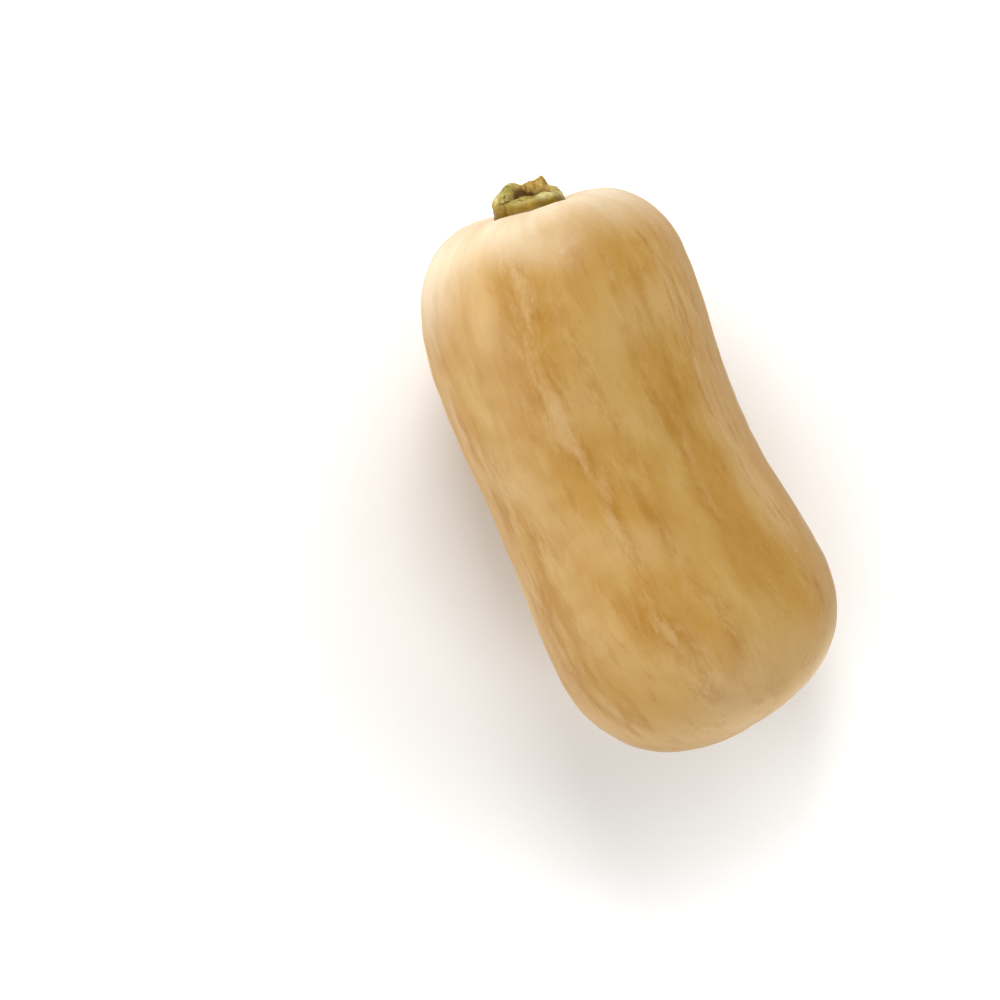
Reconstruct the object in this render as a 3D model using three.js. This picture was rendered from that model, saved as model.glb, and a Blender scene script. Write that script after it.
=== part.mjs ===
// A butternut squash as picked, lying on its side, in millimetres. +Z is up and +Y runs from the blossom
// end to the stem end. The fruit bends a little, with its hollow side towards +X. The origin is on the
// surface that it lies on, under the middle of its box. Angles round the fruit start at +X and rise to +Z.
import * as THREE from "three";

// Fruit: how long it is, and its radius at the waist
const fruitLength = 203.7;
const waistRadius = 46.8;
// The waist swells into the bulb, which holds the seeds, and into the shoulder below the stem
const bulb = { swell: 5.7, at: 44, reach: 38 };
const shoulder = { swell: 3.3, at: 154, reach: 50.5 };
// Each end rounds off over this length, and a larger roundness is a squarer end
const blossomCap = { length: 46, roundness: 2.93 };
const stemCap = { length: 54.9, roundness: 3.28 };
// The core line is an arc that turns by this angle, falls a little to the stem, and meets slanted ends
const bend = THREE.MathUtils.degToRad(20.6);
const coreFall = 0.021;
const blossomSlant = -0.031;
const stemSlant = 0.047;

// Ribs: shallow grooves between them, deeper at the ends, where they run in as folds
const rib = { count: 10, at: 0.35, sharpness: 1.6, atWaist: 0.35, atStemEnd: 0.8, atBlossomEnd: 0.55 };
const fold = { atStemEnd: 0.4, atBlossomEnd: 0.25, radius: 26, reach: 9 };
// Growth left the fruit a little oval and a little three-sided
const oval = { share: 0.006, at: -0.25 };
const threeSided = { share: 0.004, at: -0.33, turn: 0.012 };

// The stem sits a little to one side, in a wide hollow with a narrow moat round its foot
const stemAcross = -0.7;
const stemHollow = { depth: 3.6, radius: 20.7, power: 4 };
const stemMoat = { depth: 1.8, radius: 15.5, power: 6 };
// The flower left a corky button in a small hollow at the other end
const blossomHollow = { depth: 2.2, radius: 12, power: 2 };
const blossomButton = { height: 1.3, radius: 4.6, power: 6 };

// Lying height of the core line, low enough to give the bulb and the shoulder a flat spot to rest on
const restHeight = 49.35;
const flatBlend = 0.45;

// Stem stump: a squat knob with a few fat ridges, on a foot that spreads a little
const stump = { radius: 12.9, roundness: 3.2 };
const ridge = { count: 5, at: 1.815, depth: 1.1, power: 1.4, deepestAt: 3.6 };
const foot = { spread: 0.6, height: 2.2 };
// Its far part falls to one side and swells into a lobe at the other. Its near part is a lower smooth lip
const knob = { height: 11.0, fall: 0.17 };
const lobe = { swell: 1.5, at: -5, reach: 3.5 };
const lip = { height: 7.6, fall: 0.03 };
// The stalk tore off between them, along a line that runs across and turns to the near side at the lobe
const tear = { y: 0.5, edge: 0.4, turnsAt: -5, bend: 1.0, turned: 6, lobeEdge: 1.8 };
const furrow = { off: 1.3, halfWidth: 1.3, x: 1, halfLength: 8, depth: 1.6 };
const crest = { from: -1, full: 5.9, tip: 7.7, tipEdge: 0.35, off: -1.5, halfWidth: 1.8, rise: 2.9 };
const stumpGap = 0.3;

// Mesh fineness
const fruitSides = 60;
const capRings = 20;
const sideRings = 20;
const stumpSides = 64;
const stumpRings = 26;
const footRings = 3;

const fadeOut = (distance, shape) => Math.exp(-((distance / shape.radius) ** shape.power));

// A bell-shaped swelling of the side, widest at shape.at
const swelling = (along, shape) => shape.swell * Math.exp(-(((along - shape.at) / shape.reach) ** 2));

const sideRadius = (along) => waistRadius + swelling(along, bulb) + swelling(along, shoulder);

// One at the bottom of a groove and near nought on a rib, with grooves of unequal depth
function groove(angle) {
  const sharp = Math.exp(rib.sharpness * (Math.cos(rib.count * (angle - rib.at)) - 1));
  const uneven = 0.7 + 0.3 * Math.cos(2 * angle + 1.0) + 0.25 * Math.cos(3 * angle + 2.2);
  return sharp * uneven;
}

// Stations round a quarter superellipse, closer together at the pole: how far each is from the end, and
// its share of the full radius
function capStations(cap) {
  const stations = [];
  for (let i = 0; i < capRings; i++) {
    const turn = (Math.PI / 2) * (i / capRings) ** 1.5;
    const [c, s] = [Math.cos(turn), Math.sin(turn)];
    const reach = (c ** cap.roundness + s ** cap.roundness) ** (-1 / cap.roundness);
    stations.push({ inset: cap.length * (1 - reach * c), share: reach * s });
  }
  return stations;
}

// The whole side from the blossom pole to the stem pole, both poles included
function fruitStations() {
  const stations = capStations(blossomCap).map(({ inset, share }) => ({ along: inset, share }));
  const [from, to] = [blossomCap.length, fruitLength - stemCap.length];
  for (let i = 0; i <= sideRings; i++) {
    stations.push({ along: from + ((to - from) * i) / sideRings, share: 1 });
  }
  const stemEnd = capStations(stemCap).map(({ inset, share }) => ({ along: fruitLength - inset, share }));
  return stations.concat(stemEnd.reverse());
}

// How far the stem end is sunk at a distance from the stem's axis
const stemSink = (radius) =>
  stemHollow.depth * fadeOut(radius, stemHollow) + stemMoat.depth * fadeOut(radius, stemMoat);

// Distance from the stem's own axis of a place across the fruit
const fromStem = (radius, angle) =>
  Math.hypot(radius * Math.cos(angle) - stemAcross, radius * Math.sin(angle));

const blossomSink = (radius) =>
  blossomHollow.depth * fadeOut(radius, blossomHollow) -
  blossomButton.height * fadeOut(radius, blossomButton);

// Carries a point at a radius and angle round the straight core line to the bent one
function bent(radius, angle, along) {
  const heading = bend * (0.5 - along / fruitLength);
  const arcRadius = fruitLength / bend;
  const across = radius * Math.cos(angle);
  return new THREE.Vector3(
    arcRadius * (1 - Math.cos(heading)) + across * Math.cos(heading),
    -arcRadius * Math.sin(heading) + across * Math.sin(heading),
    radius * Math.sin(angle) - coreFall * (along - fruitLength / 2),
  );
}

// Presses what would be under the resting surface flat, with a short round at the edge of the flat
function pressedFlat(point) {
  const above = point.z + restHeight;
  if (above < flatBlend) {
    point.z = -restHeight + Math.max(0, above + flatBlend) ** 2 / (4 * flatBlend);
  }
  return point;
}

// A point of the fruit's skin. half runs from -1 at the blossom end to 1 at the stem end
function skinPoint({ along, share }, angle) {
  const half = (2 * along) / fruitLength - 1;
  const depthAtEnd = half > 0 ? rib.atStemEnd : rib.atBlossomEnd;
  const depth = rib.atWaist + (depthAtEnd - rib.atWaist) * Math.abs(half) ** 3;
  const shape =
    1 +
    oval.share * Math.cos(2 * (angle + oval.at)) +
    threeSided.share * Math.cos(3 * (angle - threeSided.at) + threeSided.turn * along);
  const radius = (sideRadius(along) - depth * groove(angle)) * share * shape;
  const foldDepth = half > 0 ? fold.atStemEnd : fold.atBlossomEnd;
  const folded = foldDepth * groove(angle) * Math.exp(-(((radius - fold.radius) / fold.reach) ** 2));
  const slant = (half > 0 ? stemSlant : blossomSlant) * half ** 2 * radius * Math.cos(angle);
  const sunk = half > 0 ? -stemSink(fromStem(radius, angle)) - folded : blossomSink(radius) + folded;
  return pressedFlat(bent(radius, angle, along + slant + (Math.abs(half) > 0.5 ? sunk : 0)));
}

// A closed skin from rings of points, with one pole before the first ring and one after the last
function closedSkin(firstPole, rings, lastPole) {
  const sides = rings[0].length;
  const points = [firstPole, ...rings.flat(), lastPole];
  const faces = [];
  const vertex = (ring, side) => 1 + ring * sides + (side % sides);
  for (let side = 0; side < sides; side++) {
    faces.push(0, vertex(0, side), vertex(0, side + 1));
    for (let ring = 0; ring + 1 < rings.length; ring++) {
      const [a, b] = [vertex(ring, side), vertex(ring, side + 1)];
      const [c, d] = [vertex(ring + 1, side), vertex(ring + 1, side + 1)];
      faces.push(a, c, b, b, c, d);
    }
    const last = rings.length - 1;
    faces.push(points.length - 1, vertex(last, side + 1), vertex(last, side));
  }
  const geometry = new THREE.BufferGeometry().setFromPoints(points);
  geometry.setIndex(faces);
  geometry.computeVertexNormals();
  return geometry;
}

const turnsOf = (sides) => Array.from({ length: sides }, (_, side) => (2 * Math.PI * side) / sides);

function fruitGeometry() {
  const stations = fruitStations();
  const poles = [stations[0], stations[stations.length - 1]].map((station) => skinPoint(station, 0));
  const rings = stations
    .slice(1, -1)
    .map((station) => turnsOf(fruitSides).map((angle) => skinPoint(station, angle)));
  return closedSkin(poles[0], rings, poles[1]);
}

// Depth of the creases between fat ridges, deeper round one side
function crease(angle) {
  const between = (1 - Math.abs(Math.cos((ridge.count / 2) * (angle - ridge.at)))) ** ridge.power;
  return ridge.depth * between * (0.55 + 0.45 * Math.cos(angle - ridge.deepestAt));
}

// Rises smoothly from nought to one as the value passes nought
const rising = (value, width) => 1 / (1 + Math.exp(-value / width));

const bell = (distance, reach, power = 2) => Math.exp(-(Math.abs(distance / reach) ** power));

// Height of the stump's top at a place across it
function topHeight(x, y) {
  const tall = knob.height - knob.fall * x + lobe.swell * bell(x - lobe.at, lobe.reach);
  const low = lip.height - lip.fall * x;
  const atLobe = rising(tear.turnsAt - x, tear.bend);
  const past = y - tear.y - tear.turned * atLobe;
  const near = rising(past, tear.edge + tear.lobeEdge * atLobe);
  const alongCrest = Math.min(1, Math.max(0, (x - crest.from) / (crest.full - crest.from)));
  const beforeTip = rising(crest.tip - x, crest.tipEdge);
  const onCrest = alongCrest * bell(past - crest.off, crest.halfWidth) * beforeTip;
  const inFurrow = bell(past - furrow.off, furrow.halfWidth) * bell(x - furrow.x, furrow.halfLength, 4);
  return tall + (low - tall) * near + crest.rise * onCrest - furrow.depth * inFurrow;
}

// A point of the stump's outside, round its own axis. turn runs from nought on top to a right angle at the
// foot
function stumpPoint(turn, angle) {
  const [c, s] = [Math.cos(turn), Math.sin(turn)];
  const reach = (c ** stump.roundness + s ** stump.roundness) ** (-1 / stump.roundness);
  const inner = (stump.radius - crease(angle)) * reach * s;
  const height = topHeight(inner * Math.cos(angle), inner * Math.sin(angle)) * reach * c;
  return { radius: inner + foot.spread * Math.exp(-height / foot.height) * reach * s, height };
}

// The stump stands on the hollow of the fruit, so its foot follows the fruit's skin a small gap above it
function seated(radius, angle, height) {
  const across = stemAcross + radius * Math.cos(angle);
  const seat = fruitLength - stemSink(radius) + stemSlant * across + stumpGap;
  const up = radius * Math.sin(angle);
  return bent(Math.hypot(across, up), Math.atan2(up, across), seat + height);
}

function stumpGeometry() {
  const rings = [];
  for (let i = 1; i <= stumpRings; i++) {
    const turn = (Math.PI / 2) * (i / stumpRings);
    rings.push(
      turnsOf(stumpSides).map((angle) => {
        const { radius, height } = stumpPoint(turn, angle);
        return seated(radius, angle, height);
      }),
    );
  }
  for (let i = 1; i < footRings; i++) {
    const share = 1 - i / footRings;
    rings.push(
      turnsOf(stumpSides).map((angle) => seated(stumpPoint(Math.PI / 2, angle).radius * share, angle, 0)),
    );
  }
  const top = seated(0, 0, stumpPoint(0, 0).height);
  return closedSkin(seated(0, 0, 0), rings.reverse(), top);
}

function painted(name, geometry, color, roughness) {
  const mesh = new THREE.Mesh(geometry, new THREE.MeshStandardMaterial({ color, roughness, metalness: 0 }));
  mesh.name = name;
  return mesh;
}

const fruit = painted("fruit", fruitGeometry(), 0xc79f63, 0.45);
const stem = painted("stem", stumpGeometry(), 0x7f7434, 0.6);

const squash = new THREE.Group();
squash.add(fruit, stem);
// The origin goes under the middle of the box, on the resting surface
const middle = new THREE.Box3().setFromObject(squash).getCenter(new THREE.Vector3());
squash.position.set(-middle.x, -middle.y, restHeight);

export default squash;
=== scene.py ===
# A butternut squash lying on its side, seen from above with its stem away from the viewer.
import math

import bpy
import numpy as np
from mathutils import Matrix, Vector


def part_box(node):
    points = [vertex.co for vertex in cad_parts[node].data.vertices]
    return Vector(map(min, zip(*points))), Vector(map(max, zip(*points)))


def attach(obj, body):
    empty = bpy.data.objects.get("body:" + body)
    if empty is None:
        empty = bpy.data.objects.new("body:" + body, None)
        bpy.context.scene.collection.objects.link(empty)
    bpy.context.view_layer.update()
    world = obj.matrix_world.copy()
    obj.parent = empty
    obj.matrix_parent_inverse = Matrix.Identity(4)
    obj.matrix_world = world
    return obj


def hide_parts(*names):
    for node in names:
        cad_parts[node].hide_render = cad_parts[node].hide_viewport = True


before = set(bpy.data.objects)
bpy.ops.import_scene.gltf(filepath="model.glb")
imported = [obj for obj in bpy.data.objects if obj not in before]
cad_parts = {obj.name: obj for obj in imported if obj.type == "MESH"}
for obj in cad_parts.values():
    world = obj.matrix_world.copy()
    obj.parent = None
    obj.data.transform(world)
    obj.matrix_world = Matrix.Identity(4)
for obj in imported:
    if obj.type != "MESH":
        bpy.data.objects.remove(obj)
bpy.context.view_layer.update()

mm = 0.001


# One colour given as sRGB hex, turned into the linear values that shaders take
def linear(colour):
    parts = [int(colour[i : i + 2], 16) / 255 for i in (1, 3, 5)]
    return [p / 12.92 if p <= 0.04045 else ((p + 0.055) / 1.055) ** 2.4 for p in parts] + [1.0]


# Smooth unevenness between about -1 and 1: the mean of many sine waves of nearly one length, each with
# its own direction and start
def unevenness(points, wavelength, seed, waves=22):
    rng = np.random.default_rng(seed)
    way = rng.normal(size=(waves, 3))
    way /= np.linalg.norm(way, axis=1)[:, None]
    length = wavelength * rng.uniform(0.75, 1.35, waves)
    start = rng.uniform(0, 2 * np.pi, waves)
    total = np.zeros(points.shape[:-1])
    for k in range(waves):
        total += np.sin(2 * np.pi * (points @ way[k]) / length[k] + start[k])
    return total * 1.6 / math.sqrt(waves)


# One in the middle, and e times less at the radius. A high power keeps it flat in the middle
def bell(distance, radius, power=2):
    return np.exp(-((np.abs(distance) / radius) ** power))


# Nought before start and one after stop, with a smooth rise between them
def smooth(value, start, stop):
    t = np.clip((value - start) / (stop - start), 0, 1)
    return t * t * (3 - 2 * t)


# A closed skin from rings of points, with one pole before the first ring and one after the last
def closedSkin(name, firstPole, rings, lastPole):
    count, sides = rings.shape[:2]
    points = np.vstack([firstPole[None], rings.reshape(-1, 3), lastPole[None]])
    ring, side = np.meshgrid(np.arange(count - 1), np.arange(sides), indexing="ij")
    a = 1 + ring * sides + side
    b = 1 + ring * sides + (side + 1) % sides
    quads = np.stack([a, a + sides, b + sides, b], -1).reshape(-1, 4)
    s = np.arange(sides)
    lastRing = 1 + (count - 1) * sides
    firstFan = np.stack([s * 0, 1 + s, 1 + (s + 1) % sides], 1)
    lastFan = np.stack([s * 0 + len(points) - 1, lastRing + (s + 1) % sides, lastRing + s], 1)
    corners = np.concatenate([firstFan.ravel(), quads.ravel(), lastFan.ravel()])
    lengths = np.concatenate([np.full(sides, 3), np.full(len(quads), 4), np.full(sides, 3)])
    mesh = bpy.data.meshes.new(name)
    mesh.vertices.add(len(points))
    mesh.vertices.foreach_set("co", points.ravel())
    mesh.loops.add(len(corners))
    mesh.loops.foreach_set("vertex_index", corners)
    mesh.polygons.add(len(lengths))
    mesh.polygons.foreach_set("loop_start", np.cumsum(lengths) - lengths)
    mesh.update(calc_edges=True)
    mesh.shade_smooth()
    piece = bpy.data.objects.new(name, mesh)
    bpy.context.collection.objects.link(piece)
    return piece


# Values kept on the points of a skin for its material, three numbers or one for each point. The two poles
# take the mean of the ring next to them
def keepOn(piece, name, rings):
    flat = rings.reshape(rings.shape[0] * rings.shape[1], -1)
    values = np.vstack([rings[0].mean(0), flat, rings[-1].mean(0)])
    kind, key = ("FLOAT_VECTOR", "vector") if rings.ndim == 3 else ("FLOAT", "value")
    piece.data.attributes.new(name, kind, "POINT").data.foreach_set(key, values.ravel())


# Adds a node with its settings. An input is a value or the output of another node
def addNode(tree, kind, settings=None, inputs=None):
    node = tree.nodes.new(kind)
    for key, value in (settings or {}).items():
        setattr(node, key, value)
    for key, value in (inputs or {}).items():
        if isinstance(value, bpy.types.NodeSocket):
            tree.links.new(value, node.inputs[key])
        else:
            node.inputs[key].default_value = value
    return node


# How many cells of these sizes in mm fit in a metre
def perMetre(*sizes):
    return [1 / (size * mm) for size in sizes]


# The same for a coordinate that goes round a piece and along it, in units of its radius
def perRadius(radius, across, along):
    return [radius / (size * mm) for size in (across, across, along)]


# A soft-edged pattern between nought and one: noise cut off below one level and above another. The
# coordinate is multiplied by the number of cells and shifted
def pattern(tree, source, cells, low, high, detail=3.0, rough=0.55, warp=0.0, shift=0.0):
    spread = addNode(tree, "ShaderNodeVectorMath", {"operation": "MULTIPLY_ADD"},
                     {0: source, 1: cells, 2: (shift, shift * 0.7, shift * 1.3)})
    noise = addNode(tree, "ShaderNodeTexNoise", None,
                    {"Vector": spread.outputs[0], "Scale": 1.0, "Detail": detail, "Roughness": rough,
                     "Distortion": warp})
    edge = addNode(tree, "ShaderNodeMapRange", {"interpolation_type": "SMOOTHSTEP"},
                   {"Value": noise.outputs["Fac"], "From Min": low, "From Max": high})
    return edge.outputs["Result"]


# Sums with sockets or numbers
def calc(tree, operation, *values):
    inputs = dict(enumerate(values))
    return addNode(tree, "ShaderNodeMath", {"operation": operation}, inputs).outputs[0]


# Lays a colour over what is below it, by an amount from nought to one
def over(tree, below, colour, amount):
    mixed = addNode(tree, "ShaderNodeMix", {"data_type": "RGBA"}, {0: amount, 6: below, 7: colour})
    return mixed.outputs[2]


# What keepOn left on the points
def kept(tree, name, output="Fac"):
    return addNode(tree, "ShaderNodeAttribute", {"attribute_name": name}).outputs[output]


# Fruit: the straight form that is then bent along its core line
fruit = {
    "length": 203.7 * mm,
    "waist": 46.8 * mm,
    "bulb": (5.7 * mm, 44 * mm, 38 * mm),
    "shoulder": (3.3 * mm, 154 * mm, 50.5 * mm),
    "blossomCap": (46 * mm, 2.93),
    "stemCap": (54.9 * mm, 3.28),
    "bend": math.radians(20.6),
    "coreFall": 0.021,
    "slants": (-0.031, 0.047),
    "restHeight": 49.35 * mm,
    "flatBlend": 0.45 * mm,
    "sides": 300,
    "capRings": 100,
    "sideRings": 84,
}
# Depths are at the waist, the stem end and the blossom end
rib = {"count": 10, "at": 0.35, "sharpness": 1.6, "depths": (0.35 * mm, 0.8 * mm, 0.55 * mm)}
fold = {"depths": (0.4 * mm, 0.25 * mm), "radius": 26 * mm, "reach": 9 * mm}
# Growth left it a little oval and a little three-sided: by what share, at what angle and with what turn
oval = {"share": 0.006, "at": 0.25}
threeSided = {"share": 0.004, "at": 0.33, "turn": 0.012 / mm}
# Shallow dents and swellings, large and small: depth, width and the seed of each
dents = ((0.16 * mm, 34 * mm, 3), (0.05 * mm, 11 * mm, 4))
# The marks turn round the fruit by this angle for each metre of length. Its mean radius is their unit
marking = {"turn": 1.2, "unit": 51 * mm}
# Where the ground is pinkish and lighter, partly its own tone and partly painted light from the side and
# painted bounce light at the blossom end: along one side from the first two angles in degrees to the second
# two, round an angle of the underside, and so many mm from the blossom end. Then how much of it the last two
# have
pinkish = {"side": (94, 126), "sideEnd": (20, 70), "under": (75, 34), "end": (30, 74), "shares": (0.6, 0.65)}
# The pale crown, partly the paler shoulder round the stem and partly a painted highlight on the top that
# faces the light, starts to fade and ends at these distances from the stem's axis, in mm over the skin. It
# reaches further down one side
crown = {"fade": (28, 57), "twoSided": (0.2, 1.55), "oneSided": (0.24, 2.7)}
# The stem sits a little to one side. Depth, radius and power of each hollow
stemAcross = -0.7 * mm
stemHollows = ((3.6 * mm, 20.7 * mm, 4), (1.8 * mm, 15.5 * mm, 6))
blossomHollows = ((2.2 * mm, 12 * mm, 2), (-1.3 * mm, 4.6 * mm, 6))


# One at the bottom of a groove and near nought on a rib, with grooves of unequal depth
def groove(angle):
    sharp = np.exp(rib["sharpness"] * (np.cos(rib["count"] * (angle - rib["at"])) - 1))
    return sharp * (0.7 + 0.3 * np.cos(2 * angle + 1.0) + 0.25 * np.cos(3 * angle + 2.2))


# How deep hollows are at a distance from their middle
def sunk(distance, hollows):
    return sum(depth * bell(distance, radius, power) for depth, radius, power in hollows)


# Stations from the blossom pole to the stem pole: the place along the core and the share of the radius.
# Each end is a quarter superellipse with its stations closer together at the pole
def fruitStations():
    ends = []
    for length, roundness in (fruit["blossomCap"], fruit["stemCap"]):
        turn = (np.pi / 2) * (np.arange(fruit["capRings"]) / fruit["capRings"]) ** 1.25
        reach = (np.cos(turn) ** roundness + np.sin(turn) ** roundness) ** (-1 / roundness)
        ends.append((length * (1 - reach * np.cos(turn)), reach * np.sin(turn)))
    first, last = fruit["blossomCap"][0], fruit["length"] - fruit["stemCap"][0]
    side = np.linspace(first, last, fruit["sideRings"] + 1)
    along = np.concatenate([ends[0][0], side, (fruit["length"] - ends[1][0])[::-1]])
    share = np.concatenate([ends[0][1], np.ones(len(side)), ends[1][1][::-1]])
    return along, share


# Carries points at a radius and angle round the straight core line to the bent one, an arc
def bent(radius, angle, along):
    heading = fruit["bend"] * (0.5 - along / fruit["length"])
    arc = fruit["length"] / fruit["bend"]
    across = radius * np.cos(angle)
    return np.stack([
        arc * (1 - np.cos(heading)) + across * np.cos(heading),
        -arc * np.sin(heading) + across * np.sin(heading),
        radius * np.sin(angle) - fruit["coreFall"] * (along - fruit["length"] / 2),
    ], -1)


# Strokes of colour that run lengthwise, each with its angle, its two ends in mm from the blossom end, its
# half width in degrees and its strength. They widen, narrow and wander
def strokes(turned, along, straight, marks):
    total = 0 * turned
    breaks = 0.9 + 0.2 * unevenness(straight * np.array([1, 1, 0.4]), 14 * mm, 21)
    for k, (at, start, stop, width, strength) in enumerate(marks):
        place = along / mm
        wander = 0.5 * width * np.sin(place / 13 + 2.1 * k) + 0.35 * width * np.sin(place / 5.3 + k)
        off = (np.degrees(turned) - at + wander + 180) % 360 - 180
        width = width * (1 + 0.35 * np.sin(place / 19 + 1.3 * k))
        ends = smooth(place, start, start + 22) * (1 - smooth(place, stop - 22, stop))
        total = np.maximum(total, strength * bell(off, width) * ends)
    return np.clip(total * breaks, 0, 1)


# The side that faces up has its marks where a real fruit was seen to have them
paleMarks = [
    (101, 12, 200, 5, 0.85),
    (36.5, 12, 200, 1.5, 1.0),
    (31.5, 50, 195, 1.2, 0.8),
    (150, 5, 198, 10, 0.6),
    (24, 90, 200, 2.2, 0.5),
    (84, 20, 190, 3, 0.35),
    (62, 60, 200, 3, 0.35),
]
strawMarks = [(71.5, 5, 186, 8, 0.8), (135, 60, 190, 5, 0.4)]
goldMarks = [
    (111, 105, 198, 5, 0.9),
    (52.5, 90, 182, 3.2, 0.9),
    (115, 32, 84, 5, 0.85),
    (97, 26, 66, 4.5, 0.8),
    (87, 60, 135, 5, 0.5),
    (123, 146, 194, 7, 0.75),
    (79, 140, 196, 1.3, 0.8),
    (60, 20, 90, 4, 0.45),
    (44, 40, 130, 4, 0.4),
]
spread = np.random.default_rng(8)


# The rest of the way round has more of the same kind, drawn between these limits
def drawnMark(at, starts, lengths, widths):
    start = spread.uniform(*starts)
    return at, start, start + spread.uniform(*lengths), spread.uniform(*widths), spread.uniform(0.5, 0.9)


for step in range(9):
    around = -165 + 20 * step + spread.uniform(-7, 7)
    paleMarks.append(drawnMark(around, (5, 70), (80, 125), (1.2, 4)))
    goldMarks.append(drawnMark(around + 10, (15, 120), (50, 80), (3, 5.5)))


# At each station and angle the radius is that of the waist and of the two swellings, less the groove, times
# the share that the rounded end leaves. The place along the core is moved by the slant and the hollows
def makeFruit():
    along, share = [v[:, None] for v in fruitStations()]
    angle = np.linspace(0, 2 * np.pi, fruit["sides"], endpoint=False)[None]
    half = 2 * along / fruit["length"] - 1
    radius = fruit["waist"] + 0 * along * angle
    for swell, at, reach in (fruit["bulb"], fruit["shoulder"]):
        radius = radius + swell * bell(along - at, reach)
    atWaist, atStem, atBlossom = rib["depths"]
    atEnd = np.where(half > 0, atStem, atBlossom)
    radius -= (atWaist + (atEnd - atWaist) * np.abs(half) ** 3) * groove(angle)
    radius *= share * (
        1
        + oval["share"] * np.cos(2 * (angle - oval["at"]))
        + threeSided["share"] * np.cos(3 * (angle + threeSided["at"]) + threeSided["turn"] * along)
    )
    # Growth is never quite even, but the places that it rests on are left without dents
    straight = np.stack([radius * np.cos(angle), radius * np.sin(angle), along + 0 * radius], -1)
    dent = sum(depth * unevenness(straight, width, seed) for depth, width, seed in dents)
    dent *= np.clip((straight[..., 1] + 0.9 * fruit["waist"]) / (8 * mm), 0, 1)
    radius += dent * share
    folded = np.where(half > 0, *fold["depths"]) * groove(angle)
    folded = folded * bell(radius - fold["radius"], fold["reach"])
    slant = np.where(half > 0, fruit["slants"][1], fruit["slants"][0]) * half**2 * radius * np.cos(angle)
    fromStem = np.hypot(radius * np.cos(angle) - stemAcross, radius * np.sin(angle))
    inward = dent * (1 - share**2)
    stemSide = -sunk(fromStem, stemHollows) - folded + inward
    blossomSide = sunk(radius, blossomHollows) + folded - inward
    place = along + slant + np.where(half > 0.5, stemSide, np.where(half < -0.5, blossomSide, 0))
    skin = bent(radius, angle, place)
    # What would be under the resting surface is pressed flat, with a short round at the edge of the flat
    blend = fruit["flatBlend"]
    above = skin[..., 2] + fruit["restHeight"]
    pressed = np.maximum(0, above + blend) ** 2 / (4 * blend)
    skin[..., 2] = np.where(above < blend, pressed, above)
    # Into the row's frame, by the box of the solid that it replaces
    low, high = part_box("fruit")
    middle = (skin.min((0, 1)) + skin.max((0, 1))) / 2
    offset = np.array([(low.x + high.x) / 2 - middle[0], (low.y + high.y) / 2 - middle[1], low.z])
    skin += offset
    piece = closedSkin("rind", skin[0].mean(0), skin[1:-1], skin[-1].mean(0))

    # For the material. The pattern draws together towards the ends as the fruit does
    turned = angle - marking["turn"] * (along - fruit["length"] / 2)
    wide = np.where(half < 0, share, 0.5 + 0.5 * share)
    upward = along / marking["unit"] + 0 * turned
    growth = np.stack([wide * np.cos(turned), wide * np.sin(turned), upward], -1)
    keepOn(piece, "growth", growth[1:-1])
    keepOn(piece, "pale", strokes(turned, along, straight, paleMarks)[1:-1])
    keepOn(piece, "straw", strokes(turned, along, straight, strawMarks)[1:-1])
    keepOn(piece, "gold", strokes(turned, along, straight, goldMarks)[1:-1])
    keepOn(piece, "groove", (groove(angle) + 0 * radius)[1:-1])
    # How far each point is from either pole over the skin
    steps = np.linalg.norm(np.diff(straight, axis=0), axis=2)
    fromBlossom = np.vstack([0 * steps[:1], np.cumsum(steps, 0)])
    fromCrown = fromBlossom[-1:] - fromBlossom
    patchy = unevenness(growth * marking["unit"], 40 * mm, 31)
    degrees = np.degrees(turned)
    # Pinkish ground, lightened as painted light from the side and as painted bounce light at the blossom end
    pinkAndPaintedLight = smooth((degrees + 180) % 360 - 180, *pinkish["side"])
    pinkAndPaintedLight = pinkAndPaintedLight * (1 - smooth((degrees + 180) % 360, *pinkish["sideEnd"]))
    at, width = pinkish["under"]
    underShare, endShare = pinkish["shares"]
    pinkAndPaintedLight = np.maximum(pinkAndPaintedLight, underShare * bell((degrees + at + 180) % 360 - 180, width, 3))
    pinkAndPaintedLight = np.maximum(pinkAndPaintedLight, endShare * (1 - smooth(fromBlossom / mm, *pinkish["end"])))
    keepOn(piece, "pinkAndPaintedLight", np.clip(pinkAndPaintedLight + 0.16 * patchy, 0, 1)[1:-1])
    # Cream crown: the paler shoulder round the stem, with a painted highlight on the top that faces the
    # light
    (twice, twiceAt), (once, onceAt) = crown["twoSided"], crown["oneSided"]
    reach = 1.03 - twice * np.cos(2 * (turned - twiceAt)) + once * np.cos(turned - onceAt)
    keepOn(piece, "crown", (1 - smooth((fromCrown / mm + 2.5 * patchy) / reach, *crown["fade"]))[1:-1])
    edge = radius + 0.3 * mm * unevenness(straight, 2.2 * mm, 33)
    keepOn(piece, "button", np.where(half < 0, bell(edge, 4.4 * mm, 4), 0)[1:-1])
    return piece, offset + np.array([0, 0, fruit["restHeight"]])


rindColours = {
    "tan": "#be8f40",
    "pinkAndPaintedLight": "#e6c897",
    "gold": "#ab7720",
    "pale": "#cca670",
    "straw": "#cba764",
    "creamAndPaintedHighlight": "#e6d3b2",
    "fleck": "#9a6c26",
    "cork": "#8a6332",
}


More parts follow.
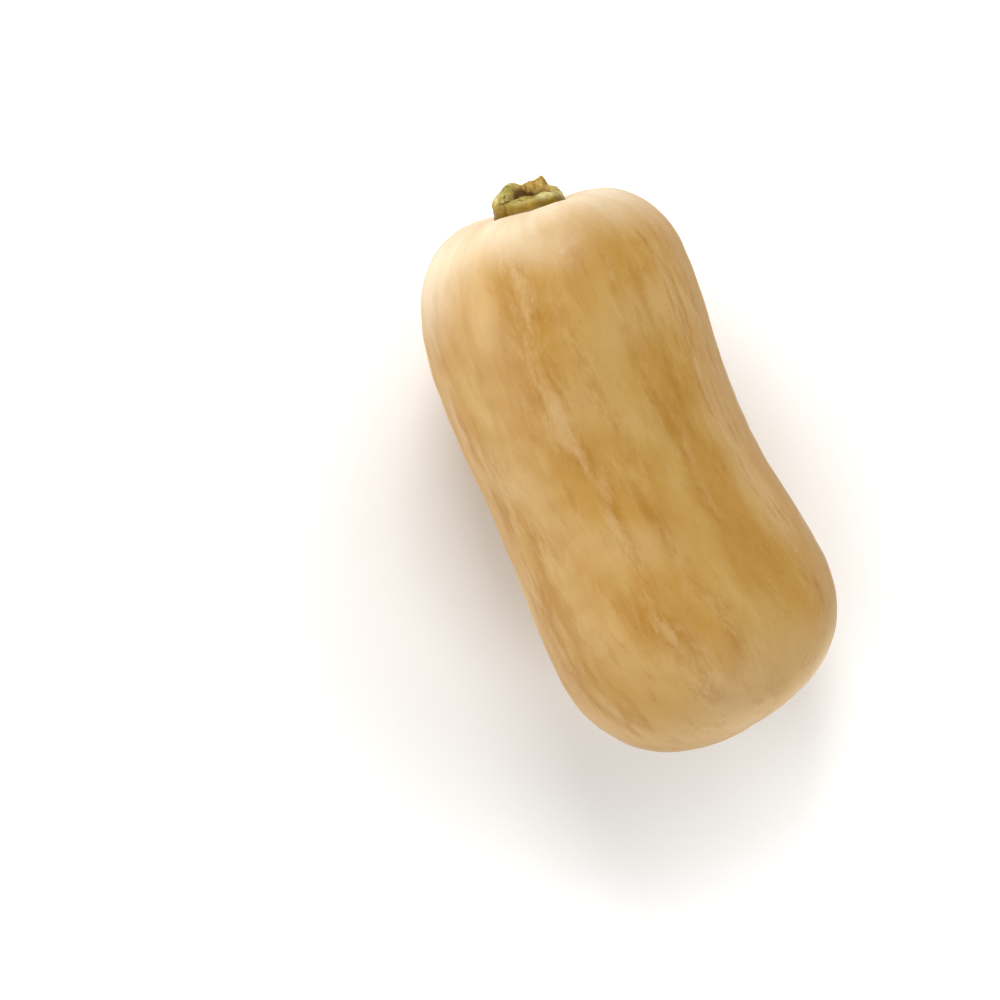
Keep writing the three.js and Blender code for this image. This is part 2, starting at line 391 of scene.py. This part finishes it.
# Ripe rind under its own wax: the eye sees a broad soft sheen on a mottled ground
def rindMaterial():
    material = bpy.data.materials.new("waxy squash rind")
    material.use_nodes = True
    tree = material.node_tree
    shader = tree.nodes["Principled BSDF"]
    paint = {name: linear(colour) for name, colour in rindColours.items()}
    growth = kept(tree, "growth", "Vector")
    unit = marking["unit"]
    place = addNode(tree, "ShaderNodeTexCoord").outputs["Object"]
    # Two grains, one of a few mm and one of about a mm, that fray every edge of colour
    mottle = pattern(tree, place, perMetre(3.03, 3.03, 3.03), 0.28, 0.66, 4.0, 0.7, 0.0, 1.3)
    frayed = pattern(tree, growth, perRadius(unit, 5.1, 21.25), 0.3, 0.66, 6.0, 0.74, 0.12, 5.2)
    # The tan ground turns pinkish and lighter on one side and at the blossom end, partly its own tone and
    # partly painted light from the side and painted bounce light
    colour = over(tree, paint["tan"], paint["pinkAndPaintedLight"], calc(tree, "MULTIPLY", kept(tree, "pinkAndPaintedLight"), 0.9))
    # Cloudy gold, and gold patches longer than wide. There is less of it where the ground is pinkish
    golden = calc(tree, "MULTIPLY_ADD", kept(tree, "pinkAndPaintedLight"), -0.7, 1.0)
    cloud = pattern(tree, growth, perRadius(unit, 18.214, 56.667), 0.5, 0.72, 6.0, 0.66, 0.2, 3.1)
    gold = calc(tree, "MAXIMUM", calc(tree, "MULTIPLY", cloud, 0.7), kept(tree, "gold"))
    gold = calc(tree, "MULTIPLY", gold, golden)
    gold = calc(tree, "MULTIPLY", gold, calc(tree, "MULTIPLY_ADD", frayed, 0.75, 0.2))
    colour = over(tree, colour, paint["gold"], gold)
    # Soft blotches all over, of the two colours in turn
    soft = pattern(tree, growth, perRadius(unit, 8.5, 34), 0.48, 0.68, 6.0, 0.7, 0.15, 7.7)
    colour = over(tree, colour, paint["straw"], calc(tree, "MULTIPLY", soft, 0.5))
    small = pattern(tree, growth, perRadius(unit, 6.375, 19.615), 0.52, 0.66, 6.0, 0.74, 0.15, 9.3)
    small = calc(tree, "MULTIPLY", small, golden)
    colour = over(tree, colour, paint["gold"], calc(tree, "MULTIPLY", small, 0.45))
    colour = over(tree, colour, paint["straw"], calc(tree, "MULTIPLY", mottle, 0.1))
    # Straw coloured bands, then pale streaks with ragged edges
    straw = calc(tree, "MULTIPLY", kept(tree, "straw"), calc(tree, "MULTIPLY_ADD", frayed, 0.6, 0.4))
    colour = over(tree, colour, paint["straw"], straw)
    ragged = pattern(tree, growth, perRadius(unit, 6.375, 19.615), 0.34, 0.62, 6.0, 0.74, 0.12, 2.9)
    streak = calc(tree, "MULTIPLY", kept(tree, "pale"), calc(tree, "MULTIPLY_ADD", ragged, 0.72, 0.26))
    streak = calc(tree, "MULTIPLY", streak, calc(tree, "MULTIPLY_ADD", mottle, 0.4, 0.7))
    colour = over(tree, colour, paint["pale"], streak)
    # Orange gold gathers along the edges of the streaks
    rim = calc(tree, "MULTIPLY", kept(tree, "pale"), calc(tree, "SUBTRACT", 1.0, kept(tree, "pale")))
    rim = calc(tree, "MULTIPLY", rim, calc(tree, "MULTIPLY", calc(tree, "SUBTRACT", 1.0, ragged), 3.2))
    colour = over(tree, colour, paint["gold"], calc(tree, "MULTIPLY", rim, golden))
    # A faint pale line in the bottom of each groove
    line = calc(tree, "MULTIPLY", calc(tree, "POWER", kept(tree, "groove"), 2.0), frayed)
    colour = over(tree, colour, paint["pale"], calc(tree, "MULTIPLY", line, 0.25))
    # The crown round the stem is cream, partly its own paler tone and partly a painted highlight on the top
    # that faces the light, and colour reaches into it in fingers
    fingers = pattern(tree, growth, perRadius(unit, 15, 102), 0.3, 0.75, 3.0, 0.6, 0.0, 2.4)
    reach = calc(tree, "MULTIPLY_ADD", fingers, -0.4, 1.0)
    colour = over(tree, colour, paint["creamAndPaintedHighlight"], calc(tree, "MULTIPLY", kept(tree, "crown"), reach))
    # Fine speckle of pores
    speck = pattern(tree, place, perMetre(1.111, 1.111, 1.111), 0.58, 0.72, 2.0, 0.6)
    colour = over(tree, colour, paint["fleck"], calc(tree, "MULTIPLY", speck, 0.14))
    colour = over(tree, colour, paint["cork"], calc(tree, "MULTIPLY", kept(tree, "button"), 0.85))
    tree.links.new(colour, shader.inputs["Base Color"])
    # The wax is a little duller on the flecks, which softens the sheen unevenly
    gloss = addNode(tree, "ShaderNodeMapRange", None, {"Value": mottle, "To Min": 0.38, "To Max": 0.48})
    tree.links.new(gloss.outputs["Result"], shader.inputs["Roughness"])
    shader.inputs["Specular IOR Level"].default_value = 0.42
    # Pores and faint lengthwise growth lines, felt more than seen
    lines = pattern(tree, growth, perRadius(unit, 1.9615, 42.5), 0.3, 0.7, 3.0, 0.6)
    pores = pattern(tree, place, perMetre(1.429, 1.429, 1.429), 0.3, 0.7, 3.0, 0.6)
    felt = calc(tree, "MULTIPLY_ADD", lines, 0.8, pores)
    bump = addNode(tree, "ShaderNodeBump", None, {"Height": felt, "Strength": 0.3, "Distance": 0.08 * mm})
    tree.links.new(bump.outputs["Normal"], shader.inputs["Normal"])
    return material


# Stem stump: a squat knob with a few fat ridges. Its foot spreads a little
stump = {
    "radius": 12.9 * mm,
    "roundness": 3.2,
    "ridges": 5,
    "ridgeAt": 1.815,
    "creaseDepth": 1.1 * mm,
    "creasePower": 1.4,
    "deepestAt": 3.6,
    "footSpread": 0.6 * mm,
    "footHeight": 2.2 * mm,
    "sunkIn": 0.5 * mm,
    "sides": 420,
    "rings": 130,
    "footRings": 4,
}
# Height of its far part, which falls to one side and swells into a lobe at the other, and of the smooth lip
# that the stalk left on the near side when it tore off
knob = {"height": 11.0 * mm, "fall": 0.17, "lobe": 1.5 * mm, "lobeAt": -5 * mm, "lobeReach": 3.5 * mm}
lip = {"height": 7.6 * mm, "fall": 0.03}
# The tear between them runs across the knob and turns to the near side at the lobe, with a furrow before it
tear = {"y": 0.5 * mm, "swing": 6 * mm, "turnsAt": -5 * mm, "bend": 1.0 * mm, "edge": 0.4 * mm,
        "lobeEdge": 1.8 * mm}
furrow = {"off": 1.3 * mm, "halfWidth": 1.3 * mm, "depth": 1.6 * mm, "x": 1 * mm, "halfLength": 8 * mm}
# The torn crest above it rises to a tip
crest = {"start": -1 * mm, "full": 5.9 * mm, "tip": 7.7 * mm, "off": -1.5 * mm, "halfWidth": 1.8 * mm,
         "rise": 2.9 * mm, "tipEdge": 0.25 * mm}

# Cracks that run down the side: the angle of each, its strength and its two ends in mm above the foot
cracks = ((2.3, 1.0, 1, 9), (2.85, 0.7, 5, 12), (3.7, 0.7, 2, 11), (4.9, 0.8, 3, 11))
crackDepth = 0.6 * mm
stalkRadius = 13 * mm


# Goes smoothly from nought to one as the value passes nought
def rise(value, width):
    return 1 / (1 + np.exp(-np.clip(value / width, -60, 60)))


# A quarter superellipse turned round the stem's axis, with creases between its ridges. Its height is that of
# the top at the same place, times the share that the rounding leaves
def makeStem(corePlace):
    turn = np.linspace(0, np.pi / 2, stump["rings"] + 1)[1:, None]
    angle = np.linspace(0, 2 * np.pi, stump["sides"], endpoint=False)[None]
    c, s = np.cos(turn), np.sin(turn)
    reach = (c ** stump["roundness"] + s ** stump["roundness"]) ** (-1 / stump["roundness"])
    between = (1 - np.abs(np.cos(stump["ridges"] / 2 * (angle - stump["ridgeAt"])))) ** stump["creasePower"]
    crease = between * (0.55 + 0.45 * np.cos(angle - stump["deepestAt"]))
    radius = (stump["radius"] - stump["creaseDepth"] * crease) * reach * s
    x, y = radius * np.cos(angle), radius * np.sin(angle)
    tall = knob["height"] - knob["fall"] * x + knob["lobe"] * bell(x - knob["lobeAt"], knob["lobeReach"])
    low = lip["height"] - lip["fall"] * x
    atLobe = rise(tear["turnsAt"] - x, tear["bend"])
    past = y - tear["y"] - tear["swing"] * atLobe
    near = rise(past, tear["edge"] + tear["lobeEdge"] * atLobe)
    inFurrow = bell(past - furrow["off"], furrow["halfWidth"])
    inFurrow = inFurrow * bell(x - furrow["x"], furrow["halfLength"], 4)
    alongCrest = np.clip((x - crest["start"]) / (crest["full"] - crest["start"]), 0, 1)
    onCrest = bell(past - crest["off"], crest["halfWidth"]) * rise(crest["tip"] - x, crest["tipEdge"])
    top = tall + (low - tall) * near
    top = top + crest["rise"] * alongCrest * onCrest - furrow["depth"] * inFurrow
    height = top * reach * c
    radius = radius + stump["footSpread"] * np.exp(-height / stump["footHeight"]) * reach * s

    # Torn fibres on the crest and in the furrow, and a few thin cracks in the smooth skin
    local = np.stack([x, y, height], -1)
    wall = 4 * near * (1 - near) * (1 - atLobe) ** 2
    run = bell(x - 0.5 * mm, 9 * mm, 6)
    broken = np.clip((1.3 * onCrest * smooth(x / mm, -4, 1) + wall) * run + 0.5 * inFurrow, 0, 1)
    torn = 0.2 * mm * unevenness(local, 2.2 * mm, 11) + 0.1 * mm * unevenness(local, 0.8 * mm, 12)
    swell = 0.3 * mm * unevenness(local, 7 * mm, 15) + 0.08 * mm * unevenness(local, 2.6 * mm, 17)
    wander = 0.3 * unevenness(local, 6 * mm, 13) + 0.12 * unevenness(local, 2.2 * mm, 16)
    crack = 0 * radius
    for at, strength, start, stop in cracks:
        gap = np.angle(np.exp(1j * (angle - at - 0.5 * wander))) * np.maximum(radius, 3 * mm)
        span = smooth(height / mm, start - 1, start + 1) * (1 - smooth(height / mm, stop, stop + 2))
        crack = np.maximum(crack, strength * bell(gap, 0.3 * mm) * span)
    level = bell(height - 6.4 * mm - 1.3 * mm * wander, 0.3 * mm) * smooth(np.cos(angle - 2.2), 0.86, 0.95)
    crack = np.maximum(crack, 0.9 * level * smooth(s, 0.5, 0.7))
    crack *= smooth(s, 0.3, 0.5)
    side = smooth(s, 0.45, 0.85)
    fibres = 0.04 * mm * np.sin(31 * angle + 4 * wander)
    radius = radius + side * (fibres + swell - crackDepth * crack)
    height = height + (1 - side) * (swell - crackDepth * crack) + torn * broken
    # The foot follows the fruit's skin and is sunk in a little, so that no gap shows
    shares = 1 - np.arange(1, stump["footRings"]) / stump["footRings"]
    radius = np.vstack([radius] + [radius[-1:] * share for share in shares])
    height = np.vstack([height] + [height[-1:] * 0] * len(shares))
    height[stump["rings"] - 1 :] = -stump["sunkIn"]

    def seated(radius, height):
        across = stemAcross + radius * np.cos(angle)
        seat = fruit["length"] - sunk(radius, stemHollows) + fruit["slants"][1] * across
        up = radius * np.sin(angle)
        return bent(np.hypot(across, up), np.arctan2(up, across), seat + height) + corePlace

    rings = seated(radius, height)[::-1]
    tip = seated(radius[:1] * 0, 0 * radius[:1] + height[0].mean())[0, 0]
    sole = seated(radius[:1] * 0, 0 * radius[:1] - stump["sunkIn"])[0, 0]
    piece = closedSkin("stem_stump", sole, rings, tip)

    foot = np.zeros((len(shares), angle.size))
    stalk = np.stack([np.cos(angle) + 0 * radius, np.sin(angle) + 0 * radius, height / stalkRadius], -1)
    keepOn(piece, "stalk", stalk[::-1])
    # Painted shade in dark brown: the lower part of the wall above the furrow is in deep shade, most of it
    # beside the lobe, and so are the furrow, the creases between the ridges and the foot. The cracks get the
    # same brown
    shade = smooth(near + 0.45 * rise(1 * mm - x, 1 * mm), 0.55, 0.95)
    shade = shade * (1 - smooth(past / mm, 1.2, 2.6)) * run * (1 - atLobe) ** 2
    depth = np.clip(shade + 0.9 * inFurrow**2 + crack + 0.3 * between * side, 0, 1)
    keepOn(piece, "paintedShadeAndCracks", np.vstack([depth, foot + 1])[::-1])
    keepOn(piece, "broken", np.vstack([broken, foot])[::-1])
    level = height[: stump["rings"]] / mm
    # Partly painted light: higher up and to one side the skin turns green and cream, partly a painted
    # highlight, and low down it turns dark, partly painted shade
    keepOn(piece, "upper", np.vstack([smooth(level - 1.5 * np.cos(angle - 2.7), 2.4, 7.4), foot])[::-1])
    keepOn(piece, "low", np.vstack([1 - smooth(level, 0.5, 5.5), foot])[::-1])
    return piece


stemColours = {
    "foot": "#65440a",
    "olive": "#8a7206",
    "green": "#9a9222",
    "creamAndPaintedHighlight": "#efe5a2",
    "gold": "#b08408",
    "straw": "#dcbc64",
    "dry": "#7f5210",
    "paintedShadeAndCrackBrown": "#573402",
}


# Stalk skin that was green when it was cut: glossy where it is whole, stringy and matt where it tore
def stemMaterial():
    material = bpy.data.materials.new("green stalk, drying")
    material.use_nodes = True
    tree = material.node_tree
    shader = tree.nodes["Principled BSDF"]
    paint = {name: linear(colour) for name, colour in stemColours.items()}
    stalk = kept(tree, "stalk", "Vector")
    place = addNode(tree, "ShaderNodeTexCoord").outputs["Object"]
    # Olive below and green above, with gold showing through, and cream blotches on what stands highest: the
    # rise to cream towards the top and one side is partly a painted highlight
    fibres = pattern(tree, stalk, perRadius(stalkRadius, 2.6, 8.125), 0.38, 0.62, 5.0, 0.65, 0.3)
    blotch = pattern(tree, place, perMetre(3.846, 3.846, 3.846), 0.4, 0.68, 5.0, 0.66, 0.2, 4.4)
    upper = kept(tree, "upper")
    colour = over(tree, paint["olive"], paint["green"], upper)
    colour = over(tree, colour, paint["gold"], calc(tree, "MULTIPLY", fibres, 0.6))
    # Darker towards the foot, partly a browner tone and partly painted shade at the base
    colour = over(tree, colour, paint["foot"], calc(tree, "MULTIPLY", kept(tree, "low"), 0.5))
    pale = calc(tree, "MULTIPLY", upper, calc(tree, "MULTIPLY_ADD", blotch, 0.8, 0.05))
    colour = over(tree, colour, paint["creamAndPaintedHighlight"], pale)
    # The torn crest is golden brown and stringy
    tear = pattern(tree, place, perMetre(1.111, 2.857, 1.111), 0.4, 0.72, 5.0, 0.7, 0.3)
    torn = over(tree, paint["straw"], paint["dry"], tear)
    colour = over(tree, colour, torn, kept(tree, "broken"))
    # Painted shade: dark brown in the shaded mouth under the crest, in the furrow, in the creases and at the
    # foot, and in the cracks
    colour = over(tree, colour, paint["paintedShadeAndCrackBrown"], calc(tree, "MULTIPLY", kept(tree, "paintedShadeAndCracks"), 0.92))
    tree.links.new(colour, shader.inputs["Base Color"])
    # Fresh stalk skin is glossy and the torn part is not
    dull = kept(tree, "broken")
    gloss = addNode(tree, "ShaderNodeMapRange", None, {"Value": dull, "To Min": 0.2, "To Max": 0.7})
    tree.links.new(gloss.outputs["Result"], shader.inputs["Roughness"])
    shader.inputs["Specular IOR Level"].default_value = 0.3
    grain = pattern(tree, stalk, perRadius(stalkRadius, 0.4333, 2.6), 0.3, 0.7, 4.0, 0.7)
    rough = pattern(tree, place, perMetre(1.111, 1.111, 1.111), 0.3, 0.7, 4.0, 0.7)
    felt = calc(tree, "MULTIPLY_ADD", rough, calc(tree, "MULTIPLY_ADD", dull, 1.2, 0.6), grain)
    bump = addNode(tree, "ShaderNodeBump", None, {"Height": felt, "Strength": 0.7, "Distance": 0.22 * mm})
    tree.links.new(bump.outputs["Normal"], shader.inputs["Normal"])
    return material


# Gives a piece its material, hangs it under the root body and hides the solid that it stands for
def finishPiece(piece, node, material):
    piece.data.materials.append(material)
    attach(piece, "root")
    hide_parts(node)
    print("made", piece.name, len(piece.data.polygons), "faces")


rind, corePlace = makeFruit()
finishPiece(rind, "fruit", rindMaterial())
finishPiece(makeStem(corePlace), "stem", stemMaterial())

# The camera looks down, tipped past the zenith to the stem's side, with the stem at the upper left
view = {"azimuth": -23.7, "elevation": 98.3, "distance": 1.0, "aim": (43.0 * mm, 10.7 * mm), "lens": 100}


def placeCamera():
    a, e = math.radians(view["azimuth"]), math.radians(view["elevation"])
    back = Vector((math.sin(a) * math.cos(e), -math.cos(a) * math.cos(e), math.sin(e)))
    up = Vector((-math.sin(a) * math.sin(e), math.cos(a) * math.sin(e), math.cos(e)))
    right = up.cross(back)
    target = Vector(corePlace) - right * view["aim"][0] - up * view["aim"][1]
    camera = bpy.data.objects.new("camera", bpy.data.cameras.new("camera"))
    camera.data.lens = view["lens"]
    camera.data.sensor_width = 36
    turned = Matrix((right, up, back)).transposed().to_4x4()
    camera.matrix_world = Matrix.Translation(target + back * view["distance"]) @ turned
    bpy.context.collection.objects.link(camera)
    bpy.context.scene.camera = camera
    return right, up, back


right, up, back = placeCamera()


# Soft square lights: the way to each as shares of the camera's back, up and right, its size in metres and
# its power in watts
lights = {
    "key": ((0.66, 0.75, -0.1), 0.45, 10.3),
    "left fill": ((0.3, -0.15, -0.93), 1.0, 10.8),
    "right fill": ((0.4, -0.65, 0.5), 1.0, 9.0),
}
lightDistance = 1.2


def softLight(name, direction, size, power):
    light = bpy.data.lights.new(name, "AREA")
    light.shape = "SQUARE"
    light.size = size
    light.energy = power
    lamp = bpy.data.objects.new(name, light)
    direction = direction.normalized()
    lamp.rotation_mode = "QUATERNION"
    lamp.rotation_quaternion = direction.to_track_quat("Z", "Y")
    lamp.location = Vector(corePlace) + direction * lightDistance
    bpy.context.collection.objects.link(lamp)


for name, ((towardsBack, towardsUp, towardsRight), size, power) in lights.items():
    softLight(name, back * towardsBack + up * towardsUp + right * towardsRight, size, power)

# What the room and the paper give as light, and what they look like where they are seen straight on
room = {"colour": "#fffefc", "light": 0.2, "seen": 1.0}
paper = {"colour": "#edebe8", "glow": "#fcfdff", "light": 0.1, "nearSeen": 0.03, "farSeen": 1.0,
         "fade": (60 * mm, 240 * mm), "shadowDown": 60 * mm, "shadowLeft": 20 * mm, "halfWidth": 3.0}


# One value for the light that is given and another for what the camera sees
def bySight(tree, given, shown):
    seen = addNode(tree, "ShaderNodeLightPath").outputs["Is Camera Ray"]
    return calc(tree, "MULTIPLY_ADD", seen, shown - given, given)


def makeRoom():
    world = bpy.data.worlds.new("white room")
    world.use_nodes = True
    tree = world.node_tree
    sky = tree.nodes["Background"]
    sky.inputs["Color"].default_value = linear(room["colour"])
    tree.links.new(bySight(tree, room["light"], room["seen"]), sky.inputs["Strength"])
    bpy.context.scene.world = world


# White paper that fades to the eye into the white room, away from the squash and its shadow
def paperMaterial():
    material = bpy.data.materials.new("white paper")
    material.use_nodes = True
    tree = material.node_tree
    shader = tree.nodes["Principled BSDF"]
    shader.inputs["Base Color"].default_value = linear(paper["colour"])
    shader.inputs["Roughness"].default_value = 0.8
    shader.inputs["Emission Color"].default_value = linear(paper["glow"])
    shadow = -up * paper["shadowDown"] - right * paper["shadowLeft"]
    spot = addNode(tree, "ShaderNodeTexCoord").outputs["Object"]
    away = addNode(tree, "ShaderNodeVectorMath", {"operation": "DISTANCE"},
                   {0: spot, 1: (shadow.x, shadow.y, 0)}).outputs["Value"]
    near = bySight(tree, paper["light"], paper["nearSeen"])
    far = bySight(tree, paper["light"], paper["farSeen"])
    start, stop = paper["fade"]
    fade = addNode(tree, "ShaderNodeMapRange", {"interpolation_type": "SMOOTHSTEP"},
                   {"Value": away, "From Min": start, "From Max": stop, "To Min": near, "To Max": far})
    tree.links.new(fade.outputs["Result"], shader.inputs["Emission Strength"])
    return material


def makeFloor():
    mesh = bpy.data.meshes.new("floor")
    wide = paper["halfWidth"]
    corners = [(-wide, -wide, 0), (wide, -wide, 0), (wide, wide, 0), (-wide, wide, 0)]
    mesh.from_pydata(corners, [], [(0, 1, 2, 3)])
    mesh.materials.append(paperMaterial())
    floor = bpy.data.objects.new("floor", mesh)
    floor.location.z = -0.1 * mm
    bpy.context.collection.objects.link(floor)


makeRoom()
makeFloor()
print("made the camera, the lights and the floor")

bpy.context.scene.view_settings.view_transform = "Standard"
